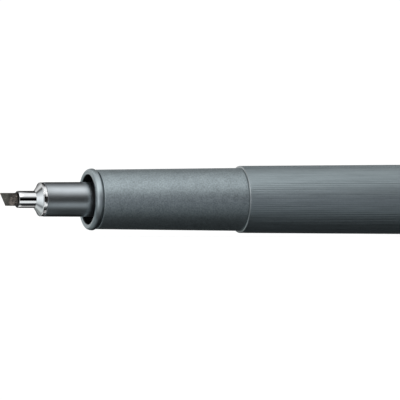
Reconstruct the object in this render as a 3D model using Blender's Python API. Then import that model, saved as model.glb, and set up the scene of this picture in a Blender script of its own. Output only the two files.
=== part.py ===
"""Fineliner pen with its cap posted on the tail.

The pen lies along X with the nib towards -X. Stations (s) are millimetres from the nib's tip along the
pen's axis, and radii are millimetres from that axis. The origin is the middle of the footprint on the table.
"""

import math

import bmesh
import bpy
from mathutils import Vector

for old in list(bpy.data.objects):
    bpy.data.objects.remove(old, do_unlink=True)

# ---------------------------------------------------------------- driving dimensions, mm
MM = 0.001
SEG = 40  # facets around the large turned pieces
SEG_S = 24  # facets around the small turned pieces

NIB_R = 1.00
NIB_SLANT = 0.886  # run of the slanted edge along the axis
NIB_EDGE = 0.30  # thickness of the writing edge
NIB_APEX_S = 2.05  # where the flats run out on the rod
NIB_END_S = 44.2

SLEEVE_FRONT_S = 2.55
SLEEVE_BORE_R = 1.05
SLEEVE_TUBE_R = 1.32
SLEEVE_CONE_S = 5.42
SLEEVE_COLLAR_S = 6.39
SLEEVE_COLLAR_R = 2.62
SLEEVE_SPIGOT_R = 2.00
SLEEVE_BACK_S = 6.91
SLEEVE_END_S = 11.5

HOLDER_FRONT_S = 6.99
HOLDER_R0 = 2.66
HOLDER_R1 = 2.72
HOLDER_FLANGE_S = 20.6
HOLDER_FLANGE_R = 3.55
HOLDER_SEAT_S = 28.7
HOLDER_END_S = 31.0
HOLDER_SOCKET_R = 2.07
HOLDER_BORE_R = 1.07
VENT_W = 0.9
VENT_D = 0.45

BEAD_S = 14.80  # fattest station of the mouth's bead
BEAD_FRONT_S = 14.08
BEAD_R = 4.80
MOUTH_R = 3.93
GROOVE_S = 15.20
GROOVE_R = 4.27
GRIP_S = 15.56
GRIP_R0 = 4.62
GRIP_R1 = 4.935
GRIP_END_S = 39.00
GRIP_SPIGOT_R = 4.25
GRIP_SPIGOT_END_S = 52.0
SEAT_R = 3.62
STOP_R = 2.75
POCKET_R = 3.50

LIP_S = 39.08
LIP_R = 5.265
BARREL_R1, BARREL_S1 = 5.50, 66.3
BARREL_R2, BARREL_S2 = 5.60, 84.0
BARREL_R3, BARREL_S3 = 5.62, 112.0
BARREL_END_S = 123.0
BARREL_SOCKET_R = 4.32
BARREL_BORE_R = 3.75
TAIL_R = 4.85
TAIL_END_S = 138.05

CORE_S = 31.3
CORE_END_S = 128.0
CORE_R = 3.15
FILM_IN_R = 3.20
FILM_R = 3.35

PLUG_S = 129.5
PLUG_R = 3.68
PLUG_HEAD_R = 4.72
PLUG_END_S = 139.3

CAP_S = 123.10  # station of the cap's mouth
CAP_R0 = 5.85
CAP_R1 = 5.70
CAP_BORE_R = 4.95
CAP_REAR_BORE_R = 5.12
CAP_STEP = 22.0  # depths from the cap's mouth
CAP_SHELL_L = 43.0
CAP_L = 44.5
LINER_R = 5.06
LINER_FRONT = 22.2
LINER_SEAL_R = 4.83
LINER_STOP = 25.2
LINER_BORE_R = 3.60
LINER_FLOOR = 40.2
LINER_END = 41.0
TOP_STEM = 41.2
TOP_FLAT_R = 4.90

CLIP_W = 3.6
CLIP_T = 0.7
CLIP_MID_R = 7.85  # middle of the strip from the pen's axis
CLIP_HINGE_DEPTH = 42.5
CLIP_HINGE_R = 6.0
CLIP_BUMP_DEPTH = 8.4
CLIP_BUMP_R = 6.27
CLIP_END_DEPTH = 5.6
NOTCH_W = 3.9

# ---------------------------------------------------------------- how the pen lies
AXIS_Z = CAP_R0 * math.cos(math.pi / SEG)  # it rests on the rim of the cap's mouth
corner_r = math.hypot(CLIP_MID_R + CLIP_T / 2, CLIP_W / 2)
corner_a = math.atan2(CLIP_W / 2, CLIP_MID_R + CLIP_T / 2)
CLIP_DOWN = math.acos((AXIS_Z - 0.02) / corner_r) + corner_a  # the clip's lower corner meets the table
CLIP_ROLL = math.pi - CLIP_DOWN
AXIS_Y = (corner_r * math.sin(CLIP_DOWN + corner_a) - AXIS_Z) / 2
AXIS_X = -(CAP_S + CAP_L) / 2


def material(name, color, rough, metal=0.0):
    mat = bpy.data.materials.new(name)
    mat.use_nodes = True
    bsdf = mat.node_tree.nodes["Principled BSDF"]
    bsdf.inputs["Base Color"].default_value = (*color, 1.0)
    bsdf.inputs["Roughness"].default_value = rough
    bsdf.inputs["Metallic"].default_value = metal
    return mat


def empty(name, parent=None, loc=(0, 0, 0), roll=0.0):
    ob = bpy.data.objects.new(name, None)
    ob.empty_display_size = 0.005
    bpy.context.scene.collection.objects.link(ob)
    ob.parent = parent
    ob.location = Vector(loc) * MM
    ob.rotation_euler = (roll, 0.0, 0.0)
    return ob


def arc(cs, cr, a_s, a_r, first, last, n):
    """Points of an elliptical arc in the station and radius plane, angles in degrees."""
    out = []
    for k in range(n + 1):
        a = math.radians(first + (last - first) * k / n)
        out.append((cs + a_s * math.cos(a), cr + a_r * math.sin(a)))
    return out


def add_object(name, bm, mat, parent, smooth=True):
    mesh = bpy.data.meshes.new(name)
    bmesh.ops.recalc_face_normals(bm, faces=bm.faces)
    bm.to_mesh(mesh)
    bm.free()
    mesh.materials.append(mat)
    for poly in mesh.polygons:
        poly.use_smooth = smooth
    if smooth:
        mesh.set_sharp_from_angle(angle=math.radians(28))
    ob = bpy.data.objects.new(name, mesh)
    bpy.context.scene.collection.objects.link(ob)
    ob.parent = parent
    return ob


def spun(profile, seg):
    """A turned body: a closed profile, or one that starts and ends on the axis, spun about X."""
    bm = bmesh.new()
    a = math.pi / seg
    verts = [bm.verts.new((s * MM, r * MM * math.sin(a), r * MM * math.cos(a))) for s, r in profile]
    for p, q in zip(verts, verts[1:]):
        bm.edges.new((p, q))
    if profile[0][1] > 0:
        bm.edges.new((verts[-1], verts[0]))
    bmesh.ops.spin(bm, geom=bm.verts[:] + bm.edges[:], cent=(0, 0, 0), axis=(1, 0, 0),
                   angle=2 * math.pi, steps=seg, use_merge=True)
    bmesh.ops.remove_doubles(bm, verts=bm.verts, dist=1e-7)
    return bm


def turned(name, profile, seg, mat, parent):
    return add_object(name, spun(profile, seg), mat, parent)


def box_cutter(name, parent, boxes):
    """One hidden cutting object made of boxes given as (low corner, high corner, roll about the axis)."""
    bm = bmesh.new()
    for lo, hi, roll in boxes:
        made = bmesh.ops.create_cube(bm, size=1.0)["verts"]
        for v in made:
            p = [(lo[i] + hi[i]) / 2 + v.co[i] * (hi[i] - lo[i]) for i in range(3)]
            y = p[1] * math.cos(roll) - p[2] * math.sin(roll)
            z = p[1] * math.sin(roll) + p[2] * math.cos(roll)
            v.co = Vector((p[0], y, z)) * MM
    ob = add_object(name, bm, plastic_dark, parent, smooth=False)
    ob.hide_render = True
    ob.display_type = "WIRE"
    return ob


def cut(ob, cutter):
    mod = ob.modifiers.new("cut", "BOOLEAN")
    mod.operation = "DIFFERENCE"
    mod.solver = "EXACT"
    mod.object = cutter


# ---------------------------------------------------------------- materials
fibre = material("nib_fibre", (0.060, 0.054, 0.048), 0.85)
chrome = material("tip_chrome", (0.72, 0.73, 0.74), 0.10, 1.0)
gloss_dark = material("holder_gloss", (0.030, 0.034, 0.037), 0.20)
grip_grey = material("grip_grey", (0.075, 0.090, 0.097), 0.55)
barrel_grey = material("barrel_grey", (0.072, 0.087, 0.094), 0.50)
ink_core = material("ink_core", (0.030, 0.028, 0.030), 0.95)
film_clear = material("core_film", (0.62, 0.64, 0.66), 0.30)
plug_grey = material("plug_grey", (0.050, 0.060, 0.065), 0.50)
cap_grey = material("cap_grey", (0.072, 0.087, 0.094), 0.50)
liner_white = material("liner_white", (0.55, 0.57, 0.58), 0.60)
plastic_dark = material("cap_top_dark", (0.035, 0.040, 0.044), 0.35)
clip_steel = material("clip_steel", (0.60, 0.61, 0.62), 0.28, 1.0)

pen = empty("pen_axis", None, (AXIS_X, AXIS_Y, AXIS_Z))
cap = empty("cap_axis", pen, (CAP_S, 0, 0))

# ---------------------------------------------------------------- nib
bm = spun([(-0.6, 0.0), (-0.6, NIB_R), (NIB_END_S, NIB_R), (NIB_END_S, 0.0)], SEG_S)
edge_len = math.hypot(2 * NIB_R, NIB_SLANT)
ahead = Vector((-2 * NIB_R / edge_len, 0.0, -NIB_SLANT / edge_len))  # square to the edge, towards the paper
tip = Vector((0.0, 0.0, NIB_R))
behind = (2 * NIB_R * NIB_APEX_S - NIB_SLANT * NIB_R) / edge_len
lean = math.atan2(NIB_R - NIB_EDGE / 2, behind)
planes = [(tip, ahead)]
for side in (-1, 1):
    planes.append((tip + Vector((0, side * NIB_EDGE / 2, 0)),
                   Vector((0, side * math.cos(lean), 0)) + ahead * math.sin(lean)))
for co, no in planes:
    res = bmesh.ops.bisect_plane(bm, geom=bm.verts[:] + bm.edges[:] + bm.faces[:], dist=1e-8,
                                 plane_co=co * MM, plane_no=no, clear_outer=True)
    rim = [e for e in res["geom_cut"] if isinstance(e, bmesh.types.BMEdge)]
    bmesh.ops.edgeloop_fill(bm, edges=rim)
bmesh.ops.remove_doubles(bm, verts=bm.verts, dist=1e-6)
bmesh.ops.dissolve_degenerate(bm, edges=bm.edges, dist=1e-6)
add_object("nib", bm, fibre, pen)

# ---------------------------------------------------------------- chromed tip sleeve
turned("tip_sleeve", [
    (SLEEVE_FRONT_S, SLEEVE_BORE_R), (SLEEVE_FRONT_S, SLEEVE_BORE_R + 0.04),
    (SLEEVE_FRONT_S + 0.10, SLEEVE_TUBE_R - 0.12), (SLEEVE_FRONT_S + 0.28, SLEEVE_TUBE_R),
    (SLEEVE_CONE_S - 0.06, SLEEVE_TUBE_R), (SLEEVE_CONE_S + 0.08, SLEEVE_TUBE_R + 0.09),
    (SLEEVE_COLLAR_S - 0.12, SLEEVE_COLLAR_R - 0.12), (SLEEVE_COLLAR_S + 0.08, SLEEVE_COLLAR_R),
    (SLEEVE_BACK_S - 0.06, SLEEVE_COLLAR_R), (SLEEVE_BACK_S, SLEEVE_COLLAR_R - 0.06),
    (SLEEVE_BACK_S, SLEEVE_SPIGOT_R), (SLEEVE_END_S - 0.3, SLEEVE_SPIGOT_R),
    (SLEEVE_END_S, SLEEVE_SPIGOT_R - 0.2), (SLEEVE_END_S, SLEEVE_BORE_R),
], SEG_S, chrome, pen)

# ---------------------------------------------------------------- nib holder with vented flange
holder = turned("nib_holder", [
    (HOLDER_FRONT_S, HOLDER_SOCKET_R), (HOLDER_FRONT_S, HOLDER_R0 - 0.05),
    (HOLDER_FRONT_S + 0.06, HOLDER_R0), (HOLDER_FLANGE_S, HOLDER_R1),
    (HOLDER_FLANGE_S, HOLDER_FLANGE_R - 0.2), (HOLDER_FLANGE_S + 0.3, HOLDER_FLANGE_R),
    (HOLDER_SEAT_S, HOLDER_FLANGE_R), (HOLDER_SEAT_S, 2.60), (HOLDER_END_S, 2.45),
    (HOLDER_END_S, HOLDER_BORE_R), (SLEEVE_END_S + 0.2, HOLDER_BORE_R),
    (SLEEVE_END_S + 0.2, HOLDER_SOCKET_R),
], SEG, gloss_dark, pen)
vents = box_cutter("vent_cutter", pen, [
    ((HOLDER_FLANGE_S - 0.5, -VENT_W / 2, HOLDER_FLANGE_R - VENT_D),
     (HOLDER_SEAT_S + 0.5, VENT_W / 2, HOLDER_FLANGE_R + 1.0), math.radians(45 + 90 * k)) for k in range(4)])
cut(holder, vents)

# ---------------------------------------------------------------- grip section with beaded mouth
bead_mid = (BEAD_R + MOUTH_R) / 2
bead_half = (BEAD_R - MOUTH_R) / 2
turned("grip_section",
       arc(BEAD_S, bead_mid, BEAD_S - BEAD_FRONT_S, bead_half, 270, 90, 8)
       + [(BEAD_S + 0.28, BEAD_R - 0.12), (GROOVE_S, BEAD_R - 0.40), (GROOVE_S + 0.03, GROOVE_R), (GROOVE_S + 0.11, GROOVE_R),
          (GROOVE_S + 0.14, GRIP_R0 - 0.13), (GRIP_S, GRIP_R0), (GRIP_END_S - 0.08, GRIP_R1), (GRIP_END_S, GRIP_R1 - 0.06),
          (GRIP_END_S, GRIP_SPIGOT_R), (GRIP_SPIGOT_END_S - 0.6, GRIP_SPIGOT_R),
          (GRIP_SPIGOT_END_S, GRIP_SPIGOT_R - 0.25), (GRIP_SPIGOT_END_S, POCKET_R),
          (HOLDER_SEAT_S + 1.5, POCKET_R), (HOLDER_SEAT_S + 1.5, STOP_R),
          (HOLDER_SEAT_S + 0.15, STOP_R), (HOLDER_SEAT_S + 0.15, SEAT_R),
          (HOLDER_FLANGE_S - 0.3, SEAT_R), (HOLDER_FLANGE_S - 0.6, MOUTH_R)],
       SEG, grip_grey, pen)

# ---------------------------------------------------------------- barrel
turned("barrel",
       [(LIP_S, BARREL_SOCKET_R), (LIP_S, LIP_R - 0.28)]
       + arc(LIP_S + 0.55, LIP_R - 0.28, 0.55, 0.28, 165, 90, 3)
       + [(BARREL_S1, BARREL_R1), (BARREL_S2, BARREL_R2), (BARREL_S3, BARREL_R3)]
       + arc(BARREL_END_S - 0.5, BARREL_R3 - 0.32, 0.5, 0.27, 90, 0, 3)
       + [(BARREL_END_S, TAIL_R), (TAIL_END_S - 1.4, TAIL_R), (TAIL_END_S, TAIL_R - 0.3),
          (TAIL_END_S, BARREL_BORE_R), (GRIP_SPIGOT_END_S + 0.4, BARREL_BORE_R),
          (GRIP_SPIGOT_END_S + 0.4, BARREL_SOCKET_R)],
       SEG, barrel_grey, pen)

# ---------------------------------------------------------------- ink core, film and tail plug
turned("reservoir_core", [
    (NIB_END_S + 0.3, 0.0), (NIB_END_S + 0.3, NIB_R + 0.06), (CORE_S, NIB_R + 0.06), (CORE_S, CORE_R),
    (CORE_END_S, CORE_R), (CORE_END_S, 0.0)], SEG_S, ink_core, pen)
turned("reservoir_film", [
    (CORE_S, FILM_IN_R), (CORE_S, FILM_R), (CORE_END_S, FILM_R), (CORE_END_S, FILM_IN_R)], SEG_S, film_clear, pen)
turned("tail_plug",
       [(PLUG_S + 6.5, 0.0), (PLUG_S + 6.5, 2.9), (PLUG_S, 2.9), (PLUG_S, PLUG_R - 0.15), (PLUG_S + 0.4, PLUG_R),
        (TAIL_END_S + 0.05, PLUG_R), (TAIL_END_S + 0.05, PLUG_HEAD_R - 0.12), (TAIL_END_S + 0.17, PLUG_HEAD_R)]
       + arc(PLUG_END_S - 0.6, PLUG_HEAD_R - 0.6, 0.6, 0.6, 90, 0, 3)
       + [(PLUG_END_S, 0.0)], SEG, plug_grey, pen)

# ---------------------------------------------------------------- cap: shell, liner and top
shell = turned("cap_shell",
               [(0.0, CAP_BORE_R + 0.10)] + arc(0.45, CAP_R0 - 0.3, 0.45, 0.3, 180, 90, 3)
               + [(CAP_SHELL_L - 0.2, CAP_R1), (CAP_SHELL_L, CAP_R1 - 0.12), (CAP_SHELL_L, CAP_REAR_BORE_R),
                  (CAP_STEP, CAP_REAR_BORE_R), (CAP_STEP, CAP_BORE_R), (0.5, CAP_BORE_R)],
               SEG, cap_grey, cap)
turned("cap_liner", [
    (LINER_FLOOR, 0.0), (LINER_FLOOR, LINER_BORE_R), (LINER_STOP, LINER_BORE_R), (LINER_STOP, LINER_SEAL_R),
    (LINER_FRONT + 0.6, LINER_SEAL_R), (LINER_FRONT, LINER_SEAL_R + 0.12), (LINER_FRONT, LINER_R),
    (LINER_END, LINER_R), (LINER_END, 0.0)], SEG, liner_white, cap)
top = turned("cap_top",
             [(TOP_STEM, 0.0), (TOP_STEM, LINER_R - 0.15), (TOP_STEM + 0.15, LINER_R), (CAP_SHELL_L + 0.06, LINER_R),
              (CAP_SHELL_L + 0.06, CAP_R1 - 0.12), (CAP_SHELL_L + 0.18, CAP_R1)]
             + arc(CAP_L - 0.8, TOP_FLAT_R, 0.8, CAP_R1 - TOP_FLAT_R, 90, 0, 4)
             + [(CAP_L, 0.0)], SEG, plastic_dark, cap)

# ---------------------------------------------------------------- pocket clip and the notches for its root
clip_at = empty("clip_hinge", cap, (CLIP_HINGE_DEPTH, 0, 0), CLIP_ROLL)
notch = box_cutter("notch_cutter", cap, [
    ((41.85, -NOTCH_W / 2, 4.0), (CAP_SHELL_L + 1.0, NOTCH_W / 2, 7.0), CLIP_ROLL)])
cut(shell, notch)
slot = box_cutter("slot_cutter", cap, [
    ((TOP_STEM - 1.0, -NOTCH_W / 2, 4.0), (CAP_SHELL_L + 0.02, NOTCH_W / 2, 7.0), CLIP_ROLL)])
cut(top, slot)


def clip_path():
    """Middle line of the bent strip as (depth, radius): root tang, bend, long spring arm, bump, upturned end."""
    pts = [(CLIP_HINGE_DEPTH, 4.4), (CLIP_HINGE_DEPTH, CLIP_MID_R - 0.9)]
    for k in range(1, 6):
        a = math.radians(90 * k / 5)
        pts.append((CLIP_HINGE_DEPTH - 0.9 + 0.9 * math.cos(a), CLIP_MID_R - 0.9 + 0.9 * math.sin(a)))
    first, last = 14.5, CLIP_BUMP_DEPTH
    for k in range(9):
        t = k / 8
        ease = (1 - math.cos(math.pi * t)) / 2
        pts.append((first + (last - first) * t, CLIP_MID_R + (CLIP_BUMP_R - CLIP_MID_R) * ease))
    for k in range(1, 5):
        t = k / 4
        pts.append((last + (CLIP_END_DEPTH - last) * t, CLIP_BUMP_R + 0.75 * t * t))
    return pts


path = clip_path()
upper, lower = [], []
for i, (d, r) in enumerate(path):
    a = path[max(i - 1, 0)]
    b = path[min(i + 1, len(path) - 1)]
    td, tr = b[0] - a[0], b[1] - a[1]
    n = math.hypot(td, tr)
    nd, nr = tr / n, -td / n
    upper.append((d + nd * CLIP_T / 2, r + nr * CLIP_T / 2))
    lower.append((d - nd * CLIP_T / 2, r - nr * CLIP_T / 2))
bm = bmesh.new()
ring = [bm.verts.new(((d - CLIP_HINGE_DEPTH) * MM, -CLIP_W / 2 * MM, (r - CLIP_HINGE_R) * MM)) for d, r in upper + lower[::-1]]
count = len(upper)
total = len(ring)
strip = [bm.faces.new((ring[k], ring[k + 1], ring[total - 2 - k], ring[total - 1 - k])) for k in range(count - 1)]
res = bmesh.ops.extrude_face_region(bm, geom=strip)
bmesh.ops.translate(bm, vec=(0, CLIP_W * MM, 0), verts=[v for v in res["geom"] if isinstance(v, bmesh.types.BMVert)])
clip = add_object("cap_clip", bm, clip_steel, clip_at)
clip.location = (0, 0, CLIP_HINGE_R * MM)
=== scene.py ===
"""Looks of the fineliner pen: fine turned meshes, procedural finishes, studio light and the photograph's view."""

import math

import bmesh
import bpy
from mathutils import Matrix, Vector


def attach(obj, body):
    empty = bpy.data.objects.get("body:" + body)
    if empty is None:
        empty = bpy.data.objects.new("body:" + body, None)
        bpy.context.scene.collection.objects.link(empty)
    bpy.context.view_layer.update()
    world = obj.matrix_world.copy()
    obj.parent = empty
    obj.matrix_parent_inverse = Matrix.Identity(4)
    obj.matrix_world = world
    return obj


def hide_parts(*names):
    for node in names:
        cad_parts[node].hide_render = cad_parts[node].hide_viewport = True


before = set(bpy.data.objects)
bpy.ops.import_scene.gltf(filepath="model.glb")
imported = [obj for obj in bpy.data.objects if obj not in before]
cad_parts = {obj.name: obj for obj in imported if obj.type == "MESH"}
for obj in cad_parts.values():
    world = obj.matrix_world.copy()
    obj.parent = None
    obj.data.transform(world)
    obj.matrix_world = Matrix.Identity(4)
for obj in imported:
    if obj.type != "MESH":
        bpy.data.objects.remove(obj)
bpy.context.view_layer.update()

MM = 0.001
# how the pen lies, as in the CAD: its axis runs along X at this height and offset, nib towards -X
CAP_R0 = 5.85
SEG_CAD = 40
CLIP_W, CLIP_T, CLIP_MID_R = 3.6, 0.7, 7.85
AXIS_Z = CAP_R0 * math.cos(math.pi / SEG_CAD)
corner_r = math.hypot(CLIP_MID_R + CLIP_T / 2, CLIP_W / 2)
corner_a = math.atan2(CLIP_W / 2, CLIP_MID_R + CLIP_T / 2)
CLIP_DOWN = math.acos((AXIS_Z - 0.02) / corner_r) + corner_a
CLIP_ROLL = math.pi - CLIP_DOWN
AXIS_Y = (corner_r * math.sin(CLIP_DOWN + corner_a) - AXIS_Z) / 2
AXIS_X = -83.8
CAP_S = 123.10


# ------------------------------------------------------------------ mesh helpers
def arc(cs, cr, a_s, a_r, first, last, n):
    out = []
    for k in range(n + 1):
        a = math.radians(first + (last - first) * k / n)
        out.append((cs + a_s * math.cos(a), cr + a_r * math.sin(a)))
    return out


def link(name, bm, mat, sharp=28.0):
    """Makes the object from a bmesh given in mm from the nib's tip and the pen's axis."""
    for v in bm.verts:
        v.co = Vector((v.co.x + AXIS_X, v.co.y + AXIS_Y, v.co.z + AXIS_Z)) * MM
    bmesh.ops.recalc_face_normals(bm, faces=bm.faces)
    mesh = bpy.data.meshes.new(name)
    bm.to_mesh(mesh)
    bm.free()
    mesh.materials.append(mat)
    for p in mesh.polygons:
        p.use_smooth = True
    mesh.set_sharp_from_angle(angle=math.radians(sharp))
    ob = bpy.data.objects.new(name, mesh)
    bpy.context.scene.collection.objects.link(ob)
    return ob


def rings(profile, seg, radius=None):
    """A turned body from (station, radius) points. radius(s, r, angle, index) may shape each ring."""
    bm = bmesh.new()
    closed = profile[0][1] > 1e-6
    loops = []
    for i, (s, r) in enumerate(profile):
        if r < 1e-6:
            loops.append([bm.verts.new((s, 0, 0))])
            continue
        loop = []
        for k in range(seg):
            a = 2 * math.pi * k / seg
            rr = radius(s, r, a, i) if radius else r
            loop.append(bm.verts.new((s, rr * math.sin(a), rr * math.cos(a))))
        loops.append(loop)
    pairs = list(zip(loops, loops[1:]))
    if closed:
        pairs.append((loops[-1], loops[0]))
    for p, q in pairs:
        for k in range(seg):
            k2 = (k + 1) % seg
            if len(p) == 1:
                bm.faces.new((p[0], q[k], q[k2]))
            elif len(q) == 1:
                bm.faces.new((p[k], q[0], p[k2]))
            else:
                bm.faces.new((p[k], q[k], q[k2], p[k2]))
    return bm


def place(ob, body, node):
    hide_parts(node)
    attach(ob, body)
    return ob


# ------------------------------------------------------------------ material helpers
class Mat:
    """A node material with its Principled shader, and object coordinates measured in mm from the nib's tip and axis."""

    def __init__(self, name):
        self.mat = bpy.data.materials.new(name)
        self.mat.use_nodes = True
        self.t = self.mat.node_tree
        self.bsdf = self.t.nodes["Principled BSDF"]
        co = self.t.nodes.new("ShaderNodeTexCoord")
        mp = self.t.nodes.new("ShaderNodeMapping")
        mp.inputs["Location"].default_value = (-AXIS_X, -AXIS_Y, -AXIS_Z)
        mp.inputs["Scale"].default_value = (1000.0, 1000.0, 1000.0)
        self.t.links.new(co.outputs["Object"], mp.inputs["Vector"])
        self.mm = mp.outputs["Vector"]
        sep = self.t.nodes.new("ShaderNodeSeparateXYZ")
        self.t.links.new(self.mm, sep.inputs[0])
        self.x, self.y, self.z = sep.outputs

    def set(self, **kw):
        for k, v in kw.items():
            self.bsdf.inputs[k.replace("_", " ")].default_value = v

    def link(self, a, b):
        self.t.links.new(a, b)

    def math(self, op, a, b=None, c=None, clamp=False):
        n = self.t.nodes.new("ShaderNodeMath")
        n.operation = op
        n.use_clamp = clamp
        for i, v in enumerate((a, b, c)):
            if v is None:
                continue
            if isinstance(v, (int, float)):
                n.inputs[i].default_value = v
            else:
                self.link(v, n.inputs[i])
        return n.outputs[0]

    def noise(self, scale, detail=3.0, rough=0.5, stretch=None, dims="3D"):
        n = self.t.nodes.new("ShaderNodeTexNoise")
        n.noise_dimensions = dims
        n.inputs["Scale"].default_value = scale
        n.inputs["Detail"].default_value = detail
        n.inputs["Roughness"].default_value = rough
        v = self.mm
        if stretch:
            m = self.t.nodes.new("ShaderNodeMapping")
            m.inputs["Scale"].default_value = stretch
            self.link(v, m.inputs["Vector"])
            v = m.outputs["Vector"]
        self.link(v, n.inputs["Vector"])
        return n.outputs["Fac"]

    def ramp(self, fac, stops, kind="LINEAR"):
        n = self.t.nodes.new("ShaderNodeValToRGB")
        n.color_ramp.interpolation = kind
        el = n.color_ramp.elements
        while len(el) < len(stops):
            el.new(0.5)
        for e, (p, c) in zip(el, stops):
            e.position = p
            e.color = (*c, 1.0) if len(c) == 3 else c
        self.link(fac, n.inputs["Fac"])
        return n.outputs["Color"]

    def between(self, v, lo, hi):
        """0 below lo, 1 above hi, smooth between."""
        n = self.t.nodes.new("ShaderNodeMapRange")
        n.interpolation_type = "SMOOTHSTEP"
        n.inputs["From Min"].default_value = lo
        n.inputs["From Max"].default_value = hi
        self.link(v, n.inputs["Value"])
        return n.outputs["Result"]

    def span(self, v, lo, hi):
        """Maps 0..1 to lo..hi."""
        n = self.t.nodes.new("ShaderNodeMapRange")
        n.inputs["To Min"].default_value = lo
        n.inputs["To Max"].default_value = hi
        self.link(v, n.inputs["Value"])
        return n.outputs["Result"]

    def bump(self, height, strength, distance_mm, normal=None):
        n = self.t.nodes.new("ShaderNodeBump")
        n.inputs["Strength"].default_value = strength
        n.inputs["Distance"].default_value = distance_mm * MM
        self.link(height, n.inputs["Height"])
        if normal is not None:
            self.link(normal, n.inputs["Normal"])
        self.link(n.outputs["Normal"], self.bsdf.inputs["Normal"])
        return n.outputs["Normal"]


def shades(c, spread):
    """Darker and lighter versions of a colour."""
    return [tuple(max(0.0, x * (1 - spread)) for x in c), c, tuple(x * (1 + spread) for x in c)]


def vary(m, c, scale, spread, detail=3.0, stretch=None):
    lo, mid, hi = shades(c, spread)
    f = m.noise(scale, detail, 0.55, stretch)
    m.link(m.ramp(f, [(0.3, lo), (0.5, mid), (0.7, hi)]), m.bsdf.inputs["Base Color"])
    return f


def over(m, mask, colour):
    """Lays another colour over the base colour where the mask is 1."""
    n = m.t.nodes.new("ShaderNodeMix")
    n.data_type = "RGBA"
    m.link(mask, n.inputs["Factor"])
    a, b = (i for i in n.inputs if i.type == "RGBA")
    m.link(m.bsdf.inputs["Base Color"].links[0].from_socket, a)
    b.default_value = (*colour, 1.0)
    m.link(next(o for o in n.outputs if o.type == "RGBA"), m.bsdf.inputs["Base Color"])


# ------------------------------------------------------------------ finishes
# grip: fine matte metallic-grey finish, with a smoother bead around the mouth
GRIP_C, BARREL_C, HOLDER_C, CHROME_C = (0.257, 0.298, 0.313), (0.258, 0.300, 0.316), (0.613, 0.655, 0.685), (0.82, 0.826, 0.832)


def blasted(m, colour, mask, rough_lo, rough_hi, extra, grain=0.26, strength=0.38):
    """Fine speckle in colour, roughness and bump, only where the mask is 1."""
    speck = m.noise(4.2, 2.0, 0.6)
    cloud = m.noise(0.7, 3.0, 0.5)
    masked = m.math("MULTIPLY", m.math("SUBTRACT", speck, 0.5), mask) if mask is not None else m.math("SUBTRACT", speck, 0.5)
    tone = m.math("ADD", m.math("ADD", masked, m.math("MULTIPLY", m.math("SUBTRACT", cloud, 0.5), 0.3)), 0.5)
    lo, mid, hi = shades(colour, grain)
    m.link(m.ramp(tone, [(0.25, lo), (0.5, mid), (0.75, hi)]), m.bsdf.inputs["Base Color"])
    m.rough = m.span(speck, rough_lo, rough_hi)
    if mask is not None:
        m.link(m.math("ADD", m.math("MULTIPLY", mask, extra), m.rough), m.bsdf.inputs["Roughness"])
    else:
        m.link(m.rough, m.bsdf.inputs["Roughness"])
    height = m.math("ADD", speck, m.noise(2.6, 2.0))
    m.bump(m.math("MULTIPLY", height, mask) if mask is not None else height, strength, 0.04)


grip = Mat("grip_blasted")
grip.set(Metallic=1.0)
blasted(grip, GRIP_C, grip.between(grip.x, 15.21, 15.44), 0.34, 0.42, 0.13)
# the bead is painted a little brighter all round: a painted highlight that lifts its sheen
over(grip, grip.math("MULTIPLY", grip.math("SUBTRACT", 1.0, grip.between(grip.x, 15.04, 15.29)), 0.4), (0.40, 0.455, 0.475))
# the bore is painted dark: painted shade inside the mouth's recess
reach = grip.math("SQRT", grip.math("ADD", grip.math("MULTIPLY", grip.y, grip.y), grip.math("MULTIPLY", grip.z, grip.z)))
bore_shade = grip.math("MULTIPLY", grip.between(grip.x, 14.05, 14.12), grip.math("SUBTRACT", 1.0, grip.between(reach, 3.88, 3.98)))
over(grip, bore_shade, (0.055, 0.060, 0.062))

# barrel: the same metallic grey, streaked lengthwise, with real ribs in the mesh
barrel = Mat("barrel_drawn")
barrel.set(Metallic=1.0)
vary(barrel, BARREL_C, 3.0, 0.10, 3.0, (0.05, 1.0, 1.0))
drawn = barrel.noise(9.0, 3.0, 0.6, (0.03, 1.0, 1.0))
barrel.rough = barrel.span(drawn, 0.46, 0.54)
# the front lip is rubbed smooth, and painted bright all round: a painted highlight along its rounded edge
lip_smooth_and_sheen = barrel.math("SUBTRACT", 1.0, barrel.between(barrel.x, 39.14, 39.26))
over(barrel, lip_smooth_and_sheen, (0.39, 0.42, 0.43))
barrel.link(barrel.math("SUBTRACT", barrel.rough, barrel.math("MULTIPLY", lip_smooth_and_sheen, 0.20)), barrel.bsdf.inputs["Roughness"])
barrel.bump(drawn, 0.12, 0.02)

# nib holder: smooth dark metallic finish
holder = Mat("holder_smooth")
holder.set(Metallic=1.0)
vary(holder, HOLDER_C, 0.8, 0.04)
hn = holder.noise(5.0, 3.0, 0.6, (1.0, 0.15, 0.15))
holder.rough = holder.span(hn, 0.27, 0.34)
holder.link(holder.rough, holder.bsdf.inputs["Roughness"])
holder.bump(hn, 0.05, 0.01)

# chromed sleeve with faint turning marks
chrome = Mat("sleeve_chrome")
chrome.set(Metallic=1.0)
vary(chrome, CHROME_C, 1.5, 0.03)
cn = chrome.noise(14.0, 2.0, 0.5, (1.0, 0.05, 0.05))
chrome.rough = chrome.span(cn, 0.03, 0.07)
# the front chamfer around the nib is painted dark and made rougher: painted shade over the chamfer
chamfer_shade_edge = chrome.math("ADD", chrome.x, chrome.math("MULTIPLY", chrome.math("SUBTRACT", chrome.noise(3.0, 2.0), 0.5), 0.10))
chamfer_shade = chrome.math("SUBTRACT", 1.0, chrome.between(chamfer_shade_edge, 2.70, 2.78))
over(chrome, chamfer_shade, (0.045, 0.042, 0.040))
chrome.link(chrome.math("ADD", chrome.rough, chrome.math("MULTIPLY", chamfer_shade, 0.25)), chrome.bsdf.inputs["Roughness"])
chrome.bump(cn, 0.02, 0.01)

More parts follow.
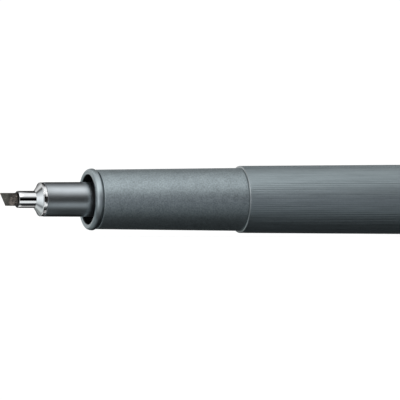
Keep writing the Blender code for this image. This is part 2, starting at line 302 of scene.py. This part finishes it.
# nib: resin-bonded fibres, ink-darkened and mottled
nib = Mat("nib_fibres")
nib.set(Metallic=0.0)
mott = nib.noise(1.7, 4.0, 0.65)
strand = nib.noise(5.0, 3.0, 0.65, (0.25, 1.0, 1.0))
mixed = nib.math("ADD", nib.math("MULTIPLY", mott, 0.55), nib.math("MULTIPLY", strand, 0.45))
# the ground face is rubbed paler towards its lower back end
rub = nib.math("MULTIPLY", nib.math("MULTIPLY", nib.between(nib.x, 1.15, 1.7), nib.math("SUBTRACT", 1.0, nib.between(nib.x, 2.0, 2.3))),
               nib.math("SUBTRACT", 1.0, nib.between(nib.z, -0.15, 0.45)))
tone = nib.math("ADD", nib.math("MULTIPLY_ADD", nib.math("SUBTRACT", mixed, 0.5), 2.1, 0.47), nib.math("MULTIPLY", rub, 0.23))
nib.link(nib.ramp(tone, [(0.34, (0.030, 0.026, 0.022)), (0.48, (0.085, 0.075, 0.066)), (0.58, (0.140, 0.122, 0.108)), (0.72, (0.34, 0.29, 0.26))]),
         nib.bsdf.inputs["Base Color"])
# and greyer towards the writing edge
over(nib, nib.math("MULTIPLY", nib.math("SUBTRACT", 1.0, nib.between(nib.x, 0.8, 1.6)), 0.6), (0.195, 0.197, 0.175))
nib.link(nib.span(strand, 0.5, 0.8), nib.bsdf.inputs["Roughness"])
nib.bump(mixed, 0.7, 0.08)

# cap: blasted like the grip
cap = Mat("cap_blasted")
cap.set(Metallic=1.0)
blasted(cap, BARREL_C, None, 0.42, 0.54, 0.0, 0.19, 0.28)

# dark moulded plastic for the plugs
dark = Mat("plug_plastic")
vary(dark, (0.030, 0.035, 0.038), 2.0, 0.15)
df = dark.noise(6.0, 3.0, 0.6)
dark.link(dark.span(df, 0.38, 0.52), dark.bsdf.inputs["Roughness"])
dark.bump(df, 0.15, 0.03)

# cap liner: off-white moulded plastic
liner = Mat("liner_plastic")
vary(liner, (0.60, 0.61, 0.60), 0.9, 0.05)
lf = liner.noise(5.0, 3.0, 0.6)
liner.link(liner.span(lf, 0.42, 0.58), liner.bsdf.inputs["Roughness"])
liner.bump(lf, 0.1, 0.03)

# spring clip: brushed steel, brushed along the strip
clip = Mat("clip_brushed")
clip.set(Metallic=1.0)
vary(clip, (0.60, 0.61, 0.62), 3.0, 0.06, 3.0, (0.05, 1.0, 1.0))
bf = clip.noise(12.0, 3.0, 0.6, (0.03, 1.0, 1.0))
clip.link(clip.span(bf, 0.20, 0.34), clip.bsdf.inputs["Roughness"])
clip.bump(bf, 0.12, 0.01)

# ink core and its film, inside the barrel
core = Mat("core_fibre")
vary(core, (0.035, 0.032, 0.036), 4.0, 0.3, 3.0, (0.1, 1.0, 1.0))
kf = core.noise(8.0, 3.0, 0.6, (0.1, 1.0, 1.0))
core.link(core.span(kf, 0.8, 0.95), core.bsdf.inputs["Roughness"])
core.bump(kf, 0.5, 0.1)
film = Mat("core_film")
vary(film, (0.62, 0.64, 0.66), 0.5, 0.05)
ff = film.noise(1.5, 2.0)
film.link(film.span(ff, 0.2, 0.35), film.bsdf.inputs["Roughness"])
film.bump(ff, 0.1, 0.05)

# ------------------------------------------------------------------ nib
NIB_R, NIB_SLANT, NIB_EDGE, NIB_APEX, NIB_HOLLOW = 1.0, 0.886, 0.30, 2.05, 0.05
bm = rings([(-0.6, 0.0), (-0.6, NIB_R)] + [(-0.6 + 0.2 * k, NIB_R) for k in range(1, 18)] + [(44.2, NIB_R), (44.2, 0.0)], 64)
edge_len = math.hypot(2 * NIB_R, NIB_SLANT)
ahead = Vector((-2 * NIB_R / edge_len, 0.0, -NIB_SLANT / edge_len))
tip = Vector((0.0, 0.0, NIB_R))
behind = (2 * NIB_R * NIB_APEX - NIB_SLANT * NIB_R) / edge_len
lean = math.atan2(NIB_R - NIB_EDGE / 2, behind)
planes = [(tip, ahead)]
for side in (-1, 1):
    planes.append((tip + Vector((0, side * NIB_EDGE / 2, 0)), Vector((0, side * math.cos(lean), 0)) + ahead * math.sin(lean)))
for co, no in planes:
    res = bmesh.ops.bisect_plane(bm, geom=bm.verts[:] + bm.edges[:] + bm.faces[:], dist=1e-6, plane_co=co, plane_no=no, clear_outer=True)
    bmesh.ops.edgeloop_fill(bm, edges=[e for e in res["geom_cut"] if isinstance(e, bmesh.types.BMEdge)])
# the two ground faces are slightly hollow
for k in range(1, 14):
    t = behind * k / 13
    bmesh.ops.bisect_plane(bm, geom=bm.verts[:] + bm.edges[:] + bm.faces[:], dist=1e-6, plane_co=tip - ahead * t, plane_no=ahead)
for co, no in planes[1:]:
    for v in bm.verts:
        t = (tip - v.co).dot(ahead) / behind
        if abs((v.co - co).dot(no)) < 1e-4 and 0.0 < t < 1.0:
            v.co -= no * (NIB_HOLLOW * 4 * t * (1 - t))
bmesh.ops.remove_doubles(bm, verts=bm.verts, dist=1e-4)
nib_ob = place(link("nib_chisel", bm, nib.mat, 20), "pen", "nib")
bev = nib_ob.modifiers.new("worn_edges", "BEVEL")
bev.width = 0.04 * MM
bev.segments = 2
bev.limit_method = "ANGLE"
bev.angle_limit = math.radians(18)

# ------------------------------------------------------------------ sleeve
sleeve_profile = (
    [(2.55, 1.05), (2.55, 1.07)] + arc(2.58, 1.08, 0.03, 0.03, 180, 135, 3) + [(2.74, 1.262)]
    + arc(2.80, 1.255, 0.08, 0.062, 140, 90, 6) + [(5.45, 1.32)]
    + arc(5.45, 1.41, 0.07, 0.09, 270, 318, 6)
    + [(5.563, 1.433), (6.261, 2.387), (6.30, 2.44)] + arc(6.41, 2.52, 0.11, 0.10, 143, 90, 6)
    + [(6.86, 2.62)] + arc(6.86, 2.58, 0.05, 0.04, 90, 0, 4)
    + [(6.91, 2.0), (11.2, 2.0), (11.5, 1.8), (11.5, 1.05)]
)
sleeve_ob = place(link("sleeve_turned", rings(sleeve_profile, 128), chrome.mat, 40), "pen", "tip_sleeve")

# ------------------------------------------------------------------ nib holder
holder_profile = (
    [(6.93, 2.07), (6.93, 2.635)] + arc(6.955, 2.635, 0.025, 0.025, 180, 90, 4)
    + [(10.0, 2.675), (14.0, 2.70), (20.6, 2.72), (20.6, 3.35), (20.9, 3.55), (28.7, 3.55), (28.7, 2.60), (31.0, 2.45),
       (31.0, 1.07), (11.7, 1.07), (11.7, 2.07)]
)
holder_ob = place(link("holder_tube", rings(holder_profile, 128), holder.mat, 40), "pen", "nib_holder")

# ------------------------------------------------------------------ grip section
grip_profile = (
    arc(14.28, 4.365, 0.20, 0.50, 270, 180, 12)[:-1] + arc(14.84, 4.365, 0.76, 0.435, 180, 90, 16)
    + arc(14.84, 4.365, 0.45, 0.435, 78, 22, 7)
    + [(15.29, 4.36)] + arc(15.35, 4.32, 0.06, 0.05, 180, 360, 8) + [(15.41, 4.42)]
    + arc(15.65, 4.49, 0.22, 0.13, 165, 90, 7)
    + [(20.0, 4.680), (27.0, 4.775), (34.0, 4.870), (39.06, 4.935)]
    + [(39.06, 4.25), (51.4, 4.25), (52.0, 4.0), (52.0, 3.5), (30.2, 3.5), (30.2, 2.75), (28.85, 2.75), (28.85, 3.62),
       (20.3, 3.62), (20.0, 3.93)]
)
grip_ob = place(link("grip_turned", rings(grip_profile, 160), grip.mat, 40), "pen", "grip_section")

# ------------------------------------------------------------------ barrel with fine ribs
RIBS, PER_RIB, RIB_DEPTH = 108, 8, 0.018
LIP = 39.08


def barrel_r(s):
    pts = [(39.6, 5.265), (66.3, 5.50), (84.0, 5.60), (112.0, 5.62), (122.5, 5.59)]
    for (s0, r0), (s1, r1) in zip(pts, pts[1:]):
        if s <= s1:
            return r0 + (r1 - r0) * (s - s0) / (s1 - s0)
    return pts[-1][1]


barrel_profile = [(LIP, 4.32), (LIP, 5.085)] + arc(LIP + 0.18, 5.085, 0.18, 0.18, 174, 90, 10)
ribbed_from = len(barrel_profile) + 1
barrel_profile += [(39.52, 5.265), (39.66, 5.2655)]
barrel_profile += [(s, barrel_r(s)) for s in (42.0, 46.0, 52.0, 58.0, 64.0, 70.0, 77.0, 84.0, 92.0, 100.0, 108.0, 114.0, 119.0, 121.6)]
ribbed_to = len(barrel_profile) - 1
barrel_profile += [(121.75, barrel_r(121.75))] + arc(122.55, 5.30, 0.45, 0.28, 90, 0, 6)
barrel_profile += [(123.0, 4.85), (136.6, 4.85), (137.75, 4.62), (138.05, 4.5), (138.05, 3.75), (52.4, 3.75), (52.4, 4.32)]


def ribbed(s, r, a, i):
    if not ribbed_from <= i <= ribbed_to:
        return r
    # each groove has a depth of its own
    k = int(RIBS * a / (2 * math.pi) + 0.5) % RIBS
    deep = 0.6 + 0.8 * ((k * 0.61803 + 0.37 * math.sin(2.4 * k)) % 1.0)
    w = 0.5 + 0.5 * math.cos(RIBS * a)
    return r - RIB_DEPTH * deep * w ** 1.6


barrel_ob = place(link("barrel_ribbed", rings(barrel_profile, RIBS * PER_RIB, ribbed), barrel.mat, 50), "pen", "barrel")

# ------------------------------------------------------------------ tail plug
plug_profile = (
    [(136.0, 0.0), (136.0, 2.9), (129.5, 2.9), (129.5, 3.53), (129.9, 3.68), (138.10, 3.68), (138.10, 4.60)]
    + arc(138.22, 4.60, 0.12, 0.12, 180, 90, 3) + arc(138.70, 4.12, 0.60, 0.60, 90, 0, 8)
    + [(139.3, 2.4)] + arc(139.3, 2.2, 0.18, 0.2, 90, 180, 4) + [(139.12, 0.0)]
)
plug_ob = place(link("tail_plug_moulded", rings(plug_profile, 96), dark.mat, 40), "pen", "tail_plug")


# ------------------------------------------------------------------ cap
def at_cap(profile):
    return [(d + CAP_S, r) for d, r in profile]


shell_profile = (
    [(0.12, 4.98), (0.0, 5.08)] + arc(0.30, 5.55, 0.30, 0.30, 180, 90, 8)
    + [(1.6, 5.845)] + arc(1.75, 5.845, 0.10, 0.09, 180, 360, 6) + [(2.2, 5.843), (12.0, 5.81), (27.0, 5.757), (42.6, 5.702)]
    + arc(42.85, 5.60, 0.15, 0.10, 90, 0, 5)
    + [(43.0, 5.12), (22.0, 5.12), (22.0, 4.95), (0.5, 4.95)]
)
shell = link("cap_tube", rings(at_cap(shell_profile), 128), cap.mat, 40)
liner_profile = (
    [(40.2, 0.0), (40.2, 3.2)] + arc(39.8, 3.2, 0.4, 0.4, 0, 90, 4)
    + [(25.2, 3.60), (25.2, 4.83), (22.8, 4.83), (22.3, 4.93)] + arc(22.3, 5.0, 0.1, 0.06, 180, 90, 3)
    + [(41.0, 5.06), (41.0, 0.0)]
)
liner_ob = place(link("cap_liner_cup", rings(at_cap(liner_profile), 96), liner.mat, 40), "cap", "cap_liner")
top_profile = (
    [(41.2, 0.0), (41.2, 4.91), (41.35, 5.06), (43.06, 5.06), (43.06, 5.58)] + arc(43.16, 5.60, 0.10, 0.10, 180, 90, 4)
    + arc(43.7, 4.90, 0.80, 0.80, 90, 0, 10)
    + [(44.5, 3.30)] + arc(44.5, 3.2, 0.12, 0.1, 90, 180, 4) + arc(44.5, 2.9, 0.12, 0.1, 180, 270, 4) + [(44.5, 0.0)]
)
top = link("cap_end", rings(at_cap(top_profile), 128), dark.mat, 40)


def block(name, lo, hi, roll):
    """A hidden cutter: a box in depth, width and radius, turned about the pen's axis."""
    bm = bmesh.new()
    for v in bmesh.ops.create_cube(bm, size=1.0)["verts"]:
        p = [(lo[i] + hi[i]) / 2 + v.co[i] * (hi[i] - lo[i]) for i in range(3)]
        v.co = (p[0] + CAP_S, p[1] * math.cos(roll) - p[2] * math.sin(roll), p[1] * math.sin(roll) + p[2] * math.cos(roll))
    ob = link(name, bm, dark.mat)
    ob.hide_render = True
    ob.display_type = "WIRE"
    return ob


def carve(ob, cutter):
    """Applies the cut to the mesh, and removes the cutter."""
    mod = ob.modifiers.new("cut", "BOOLEAN")
    mod.operation = "DIFFERENCE"
    mod.solver = "EXACT"
    mod.object = cutter
    bpy.context.view_layer.update()
    made = bpy.data.meshes.new_from_object(ob.evaluated_get(bpy.context.evaluated_depsgraph_get()))
    ob.modifiers.clear()
    ob.data = made
    made.set_sharp_from_angle(angle=math.radians(40))
    bpy.data.objects.remove(cutter, do_unlink=True)


carve(shell, block("notch_cutter", (41.85, -1.95, 4.0), (44.0, 1.95, 7.0), CLIP_ROLL))
carve(top, block("slot_cutter", (40.2, -1.95, 4.0), (43.02, 1.95, 7.0), CLIP_ROLL))
place(shell, "cap", "cap_shell")
place(top, "cap", "cap_top")

# ------------------------------------------------------------------ spring clip
HINGE_D = 42.5
path = [(HINGE_D, 4.4), (HINGE_D, 5.6), (HINGE_D, CLIP_MID_R - 0.9)]
for k in range(1, 13):
    a = math.radians(90 * k / 12)
    path.append((HINGE_D - 0.9 + 0.9 * math.cos(a), CLIP_MID_R - 0.9 + 0.9 * math.sin(a)))
path += [(d, CLIP_MID_R) for d in (38.0, 34.0, 30.0, 26.0, 22.0, 18.0)]
for k in range(19):
    t = k / 18
    path.append((14.5 + (8.4 - 14.5) * t, CLIP_MID_R + (6.27 - CLIP_MID_R) * (1 - math.cos(math.pi * t)) / 2))
for k in range(1, 13):
    t = k / 12
    path.append((8.4 + (5.6 - 8.4) * t, 6.27 + 0.75 * t * t))
bm = bmesh.new()
sections = []
ACROSS = 10
for i, (d, r) in enumerate(path):
    a, b = path[max(i - 1, 0)], path[min(i + 1, len(path) - 1)]
    td, tr = b[0] - a[0], b[1] - a[1]
    n = math.hypot(td, tr)
    nd, nr = tr / n, -td / n
    left = d - 5.6
    half = CLIP_W / 2
    if left < half and i > 20:
        half = max(0.25, math.sqrt(max(0.0, half * half - (half - left) ** 2)))
    row = []
    for face in (1, -1):
        for k in range(ACROSS + 1):
            u = -1 + 2 * k / ACROSS
            if face < 0:
                u = -u
            crown = 0.10 * (1 - u * u) if face > 0 else 0.0
            h = face * CLIP_T / 2 - (0.10 if face > 0 else 0.0) + crown
            dd, rr, w = d + nd * h, r + nr * h, u * half
            row.append(bm.verts.new((dd + CAP_S, w * math.cos(CLIP_ROLL) - rr * math.sin(CLIP_ROLL),
                                     w * math.sin(CLIP_ROLL) + rr * math.cos(CLIP_ROLL))))
    sections.append(row)
size = len(sections[0])
for p, q in zip(sections, sections[1:]):
    for k in range(size):
        k2 = (k + 1) % size
        bm.faces.new((p[k], q[k], q[k2], p[k2]))
bm.faces.new(sections[0])
bm.faces.new(sections[-1])
clip_ob = link("clip_strip", bm, clip.mat, 35)
bev = clip_ob.modifiers.new("soft_edges", "BEVEL")
bev.width = 0.09 * MM
bev.segments = 3
bev.limit_method = "ANGLE"
bev.angle_limit = math.radians(50)
place(clip_ob, "clip", "cap_clip")

# ------------------------------------------------------------------ hidden inner pieces keep their CAD shape
for node, m in (("reservoir_core", core), ("reservoir_film", film)):
    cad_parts[node].data.materials.clear()
    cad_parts[node].data.materials.append(m.mat)

# ------------------------------------------------------------------ studio
scene = bpy.context.scene
scene.view_settings.view_transform = "Standard"

world = bpy.data.worlds.new("studio")
scene.world = world
world.use_nodes = True
wt = world.node_tree
wt.nodes.clear()
out = wt.nodes.new("ShaderNodeOutputWorld")
tc = wt.nodes.new("ShaderNodeTexCoord")
sx = wt.nodes.new("ShaderNodeSeparateXYZ")
wt.links.new(tc.outputs["Generated"], sx.inputs[0])
neg = wt.nodes.new("ShaderNodeMath")
neg.operation = "MULTIPLY"
neg.inputs[1].default_value = -1.0
wt.links.new(sx.outputs["Y"], neg.inputs[0])
at = wt.nodes.new("ShaderNodeMath")
at.operation = "ARCTAN2"
wt.links.new(sx.outputs["Z"], at.inputs[0])
wt.links.new(neg.outputs[0], at.inputs[1])
unit = wt.nodes.new("ShaderNodeMapRange")
unit.inputs["From Min"].default_value = -math.pi
unit.inputs["From Max"].default_value = math.pi
wt.links.new(at.outputs[0], unit.inputs["Value"])
ramp = wt.nodes.new("ShaderNodeValToRGB")
ramp.name = "bands"
# brightness of the studio by height around the pen: 0 is towards the viewer, 90 is overhead
LIGHT = [(-180, 0.09), (-165, 0.07), (-150, 0.0), (-135, 0.0), (-120, 0.0), (-105, 0.0), (-90, 0.0), (-75, 0.0), (-60, 0.10),
         (-45, 0.38), (-30, 0.40), (-15, 0.0), (0, 0.0), (15, 0.0), (30, 0.30), (45, 0.74), (60, 1.11), (75, 1.12), (90, 0.68),
         (105, 0.29), (120, 0.18), (135, 0.04), (150, 0.03), (165, 0.03), (180, 0.05)]
# brightness of the white cards around the nib's end, above and below the axis, from the viewer's side (-1) to the far side (1)
CARD_UP = [(-1.0, 0.0), (-0.60, 0.02), (-0.40, 0.04), (-0.20, 0.18), (-0.04, 1.0), (0.0, 1.04), (0.02, 1.04), (0.055, 0.92), (0.105, 0.79),
           (0.169, 0.70), (0.244, 0.57), (0.328, 0.31), (0.395, 0.11), (0.44, 0.10), (0.509, 0.25), (0.56, 0.56), (0.60, 0.71), (0.686, 0.75),
           (0.766, 0.71), (0.835, 0.46), (1.0, 0.25)]
CARD_LOW = [(-1.0, 0.0), (-0.60, 0.02), (-0.40, 0.04), (-0.20, 0.18), (-0.04, 0.96), (0.0, 0.98), (0.02, 0.88), (0.055, 0.72), (0.105, 0.68),
            (0.169, 0.36), (0.225, 0.24), (0.26, 0.24), (0.328, 0.45), (0.418, 0.63), (0.509, 0.67), (0.60, 0.65), (0.686, 0.41), (0.766, 0.32),
            (0.835, 0.25), (1.0, 0.20)]
# and of the tall soft panel to the left of the viewer
PANEL = 1.1
el = ramp.color_ramp.elements
while len(el) < len(LIGHT):
    el.new(0.5)
for e, (deg, v) in zip(el, LIGHT):
    e.position = (deg + 180) / 360
    e.color = (v * (0.985 if deg > 0 else 0.92) / 1.5, v / 1.5, v * (1.01 if deg > 0 else 1.03) / 1.5, 1)
wt.links.new(unit.outputs[0], ramp.inputs["Fac"])


def wmath(op, a, b, clamp=False):
    n = wt.nodes.new("ShaderNodeMath")
    n.operation = op
    n.use_clamp = clamp
    for i, v in enumerate((a, b)):
        if isinstance(v, (int, float)):
            n.inputs[i].default_value = v
        else:
            wt.links.new(v, n.inputs[i])
    return n


def step(v, lo, hi):
    n = wt.nodes.new("ShaderNodeMapRange")
    n.interpolation_type = "SMOOTHSTEP"
    n.inputs["From Min"].default_value = lo
    n.inputs["From Max"].default_value = hi
    wt.links.new(v, n.inputs["Value"])
    return n.outputs["Result"]


DX, DY, DZ = sx.outputs
nx = wmath("MULTIPLY", DX, -1.0).outputs[0]
left = step(nx, -0.15, 0.15)
right = wmath("SUBTRACT", 1.0, left).outputs[0]
up = step(DZ, -0.06, 0.06)
down = wmath("MULTIPLY", wmath("SUBTRACT", 1.0, up).outputs[0], wmath("ADD", wmath("MULTIPLY", step(DZ, -0.76, -0.62), 0.32).outputs[0], 0.68).outputs[0]).outputs[0]
side = wt.nodes.new("ShaderNodeMath")
side.operation = "ARCTAN2"
wt.links.new(nx, side.inputs[0])
wt.links.new(neg.outputs[0], side.inputs[1])


def window(v, a, b, c, d):
    """1 between b and c, 0 below a and above d."""
    return wmath("MULTIPLY", step(v, a, b), wmath("SUBTRACT", 1.0, step(v, c, d)).outputs[0]).outputs[0]


def graded(stops, tint):
    """Brightness by how far to the front or back a direction points. The tint is red and blue, near and far."""
    n = wt.nodes.new("ShaderNodeValToRGB")
    el = n.color_ramp.elements
    while len(el) < len(stops):
        el.new(0.5)
    for e, (y, v) in zip(el, stops):
        e.position = (y + 1) / 2
        red, blue = tint[:2] if y < 0.5 else tint[2:]
        e.color = (v * red / 1.5, v / 1.5, v * blue / 1.5, 1)
    wt.links.new(wmath("MULTIPLY", wmath("ADD", DY, 1.0).outputs[0], 0.5).outputs[0], n.inputs["Fac"])
    return n.outputs["Color"]


def faded(colour, by):
    n = wt.nodes.new("ShaderNodeVectorMath")
    n.operation = "SCALE"
    wt.links.new(colour, n.inputs[0])
    wt.links.new(by, n.inputs["Scale"])
    return n.outputs[0]


def added(a, b):
    n = wt.nodes.new("ShaderNodeVectorMath")
    n.operation = "ADD"
    wt.links.new(a, n.inputs[0])
    wt.links.new(b, n.inputs[1])
    return n.outputs[0]


# the upper card ends along a slanted edge
edge = wmath("SUBTRACT", DZ, wmath("MULTIPLY", DY, 0.8).outputs[0]).outputs[0]
up = wmath("MULTIPLY", up, wmath("SUBTRACT", 1.0, wmath("MULTIPLY", step(edge, 0.36, 0.56), 0.75).outputs[0]).outputs[0]).outputs[0]
cards = added(faded(graded(CARD_UP, (0.95, 1.03, 0.99, 1.0)), wmath("MULTIPLY", up, left).outputs[0]), faded(graded(CARD_LOW, (0.93, 1.03, 0.93, 0.99)), wmath("MULTIPLY", down, left).outputs[0]))
tall = wmath("MULTIPLY", window(side.outputs[0], math.radians(12), math.radians(24), math.radians(42), math.radians(54)),
             window(DZ, -0.75, -0.20, 0.80, 0.97))
tall = wmath("MULTIPLY", tall.outputs[0], PANEL / 1.5).outputs[0]
summed = added(added(faded(ramp.outputs["Color"], right), cards), tall)
bg = wt.nodes.new("ShaderNodeBackground")
bg.inputs["Strength"].default_value = 1.5
wt.links.new(summed, bg.inputs["Color"])
paper = wt.nodes.new("ShaderNodeBackground")
paper.inputs["Color"].default_value = (1.0, 1.0, 1.0, 1)
paper.inputs["Strength"].default_value = 1.05
lp = wt.nodes.new("ShaderNodeLightPath")
mix = wt.nodes.new("ShaderNodeMixShader")
wt.links.new(lp.outputs["Is Camera Ray"], mix.inputs[0])
wt.links.new(bg.outputs[0], mix.inputs[1])
wt.links.new(paper.outputs[0], mix.inputs[2])
wt.links.new(mix.outputs[0], out.inputs["Surface"])


def panel(name, centre, away, length, width, radiance, lit, tint=(1.0, 1.0, 1.0)):
    """A soft reflector seen only as a reflection and as light: it lies at centre (mm from the nib's tip and axis),
    turns its back towards away, and lights the pieces in lit."""
    data = bpy.data.lights.new(name, "AREA")
    data.shape = "RECTANGLE"
    data.size, data.size_y = length * MM, width * MM
    data.energy = radiance * math.pi * data.size * data.size_y
    data.color = tint
    ob = bpy.data.objects.new(name, data)
    scene.collection.objects.link(ob)
    ob.location = (Vector((AXIS_X, AXIS_Y, AXIS_Z)) + Vector(centre)) * MM
    z = Vector(away).normalized()
    x = Vector((1.0, 0.0, 0.0)) - z * z.x
    x = x.normalized() if x.length > 0.1 else Vector((0.0, 0.0, 1.0))
    ob.rotation_mode = "QUATERNION"
    ob.rotation_quaternion = Matrix((x, z.cross(x), z)).transposed().to_quaternion()
    ob.visible_camera = False
    ob.light_linking.receiver_collection = lit
    return ob


def strip(name, centre_s, reach, angle, length, width, radiance, lit, tint=(1.0, 1.0, 1.0)):
    """A long panel along the pen, at an angle around its axis: 0 is towards the viewer, 90 is overhead."""
    a = math.radians(angle)
    away = Vector((0.0, -math.cos(a), math.sin(a)))
    return panel(name, Vector((centre_s, 0.0, 0.0)) + away * reach, away, length, width, radiance, lit, tint)


def group(name, *obs):
    g = bpy.data.collections.new(name)
    for ob in obs:
        g.objects.link(ob)
    return g


tip_pieces = group("tip_pieces", sleeve_ob, nib_ob)
strip("tip_strip_front", 2.7, 20.0, -33.6, 17.4, 11.6, 0.60, tip_pieces)
strip("tip_strip_back", 2.7, 20.0, -105.0, 17.4, 8.0, 0.47, tip_pieces)
strip("tip_strip_up", 2.7, 20.0, 43.0, 17.4, 7.0, 0.25, tip_pieces)
strip("collar_strip_front", 16.65, 20.0, -36.0, 10.2, 6.3, 0.62, tip_pieces)
strip("collar_strip_mid", 16.65, 20.0, -1.0, 10.2, 13.0, 0.035, tip_pieces, (1.0, 0.9, 0.87))
strip("collar_strip_back", 16.65, 20.0, -88.0, 10.2, 10.0, 0.40, tip_pieces)
strip("collar_strip_up", 16.65, 20.0, 33.5, 10.2, 10.6, 0.58, tip_pieces)
strip("fillet_strip", 4.2, 20.0, -102.0, 8.6, 18.0, 0.40, tip_pieces)
strip("fillet_strip_low", 4.2, 20.0, -138.0, 8.6, 9.0, 0.22, tip_pieces)
strip("fillet_strip_gap", 12.4, 20.0, -118.0, 1.8, 8.0, 0.08, tip_pieces)
# four are for the sleeve alone
sleeve_pieces = group("sleeve_pieces", sleeve_ob)
strip("sleeve_strip_top", 2.7, 20.0, 98.0, 17.4, 11.5, 0.25, sleeve_pieces)
strip("fillet_strip_up", 1.25, 20.0, 58.0, 14.5, 20.0, 0.60, sleeve_pieces)
strip("edge_strip", -7.8, 8.0, 146.0, 8.5, 2.8, 1.20, sleeve_pieces)
strip("collar_strip_top", 16.65, 20.0, 93.0, 10.2, 3.6, 0.28, sleeve_pieces)
# softer strips along the grip and the front of the barrel, which end before the cap, light the large pieces only
large = group("large_pieces", grip_ob, barrel_ob, plug_ob, shell, top, liner_ob, clip_ob)
for angle, radiance in ((35, 0.70), (50, 0.83), (65, 0.48), (80, 0.50)):
    strip("body_strip_%d" % (angle + 180), -25.0, 50.0, angle, 182.0, 13.2, radiance, large)
# the faint ones level with the pen are cooler and a little longer
for angle, radiance in ((-20, 0.17), (-5, 0.53), (10, 0.13), (20, 0.11)):
    strip("body_strip_%d" % (angle + 180), -17.0, 50.0, angle, 198.0, 13.2, radiance, large, (0.95, 0.955, 1.05))
# the strips above and behind the pen reach further along the barrel
for angle, radiance in ((95, 0.70), (110, 0.38), (125, 0.17), (140, 0.24), (155, 0.45), (170, 0.40)):
    strip("body_strip_%d" % (angle + 180), 3.3, 50.0, angle, 239.0, 13.2, radiance, large)
# a soft panel beyond the pen's far end lights the cap's closed end and its clip
cap_end_pieces = group("cap_end_pieces", shell, top, clip_ob)
panel("cap_end_panel", (260.0, -95.0, 40.0), (0.72, -0.66, 0.21), 130.0, 110.0, 0.9, cap_end_pieces)
panel("cap_back_panel", (250.0, 110.0, 60.0), (0.68, 0.68, 0.28), 130.0, 110.0, 0.6, cap_end_pieces)
# and a low one, beyond where the cap slides to, lights the clip's root
panel("cap_low_panel", (310.0, 60.0, -35.0), (1.0, 0.0, 0.0), 120.0, 260.0, 0.55, cap_end_pieces)
# an arc of short strips beside the nib's end lights the bead around the mouth
mouth_pieces = group("mouth_pieces", grip_ob)
for angle, radiance in ((-56, 0.08), (-34, 0.36), (-12, 0.56), (10, 0.66), (32, 0.70), (54, 0.90), (76, 0.90), (-170, 0.66)):
    strip("mouth_strip_%d" % (angle + 180), -2.0, 50.0, angle, 28.0, 19.4, radiance, mouth_pieces)
strip("mouth_strip_top", 6.0, 50.0, 111.0, 12.0, 19.4, 1.10, mouth_pieces)
# one more along the top of the barrel's middle
strip("barrel_strip", 102.0, 50.0, 104.0, 60.0, 18.0, 0.40, large)
strip("barrel_strip_level", 74.0, 50.0, -3.0, 34.0, 26.0, 0.14, group("barrel_pieces", barrel_ob), (0.95, 0.955, 1.05))
# two faint ones for the holder
holder_pieces = group("holder_pieces", holder_ob)
strip("holder_strip_front", 18.0, 30.0, 0.0, 32.0, 18.0, 0.035, holder_pieces)
strip("holder_strip_low", 18.0, 30.0, -90.0, 32.0, 30.0, 0.035, holder_pieces, (0.88, 1.0, 1.02))
# and a short one lights the front of the grip
strip("grip_strip", 20.0, 50.0, 34.0, 44.0, 22.0, 0.55, large)

bm = bmesh.new()
bmesh.ops.create_grid(bm, x_segments=8, y_segments=8, size=4.0)
floor_mesh = bpy.data.meshes.new("floor")
bm.to_mesh(floor_mesh)
bm.free()
floor = bpy.data.objects.new("floor", floor_mesh)
scene.collection.objects.link(floor)
floor.location.z = -0.00002
fm = bpy.data.materials.new("floor_pale")
fm.use_nodes = True
fb = fm.node_tree.nodes["Principled BSDF"]
fb.inputs["Base Color"].default_value = (0.45, 0.45, 0.45, 1)
fb.inputs["Roughness"].default_value = 0.9
fb.inputs["Specular IOR Level"].default_value = 0.0
fb.inputs["Emission Color"].default_value = (1, 1, 1, 1)
fb.inputs["Emission Strength"].default_value = 0.85
floor_mesh.materials.append(fm)
floor.visible_diffuse = False
floor.visible_glossy = False
floor.visible_transmission = False
floor.visible_shadow = False

# ------------------------------------------------------------------ camera: level with the pen, from the nib's side
YAW, DIST, AIM_S, HALF_FOV = 19.5, 715.7, 32.63, 2.5
back = Vector((-math.sin(math.radians(YAW)), -math.cos(math.radians(YAW)), 0.0))
aim = Vector((AXIS_X + AIM_S, AXIS_Y, AXIS_Z - 0.093)) * MM
cam_data = bpy.data.cameras.new("view")
cam = bpy.data.objects.new("view", cam_data)
scene.collection.objects.link(cam)
cam_data.sensor_width = 36.0
cam_data.lens = 18.0 / math.tan(math.radians(HALF_FOV))
cam_data.clip_start, cam_data.clip_end = 0.01, 20.0
cam.location = aim + back * (DIST * MM)
cam.rotation_mode = "QUATERNION"
cam.rotation_quaternion = (-back).to_track_quat("-Z", "Y")
scene.camera = cam
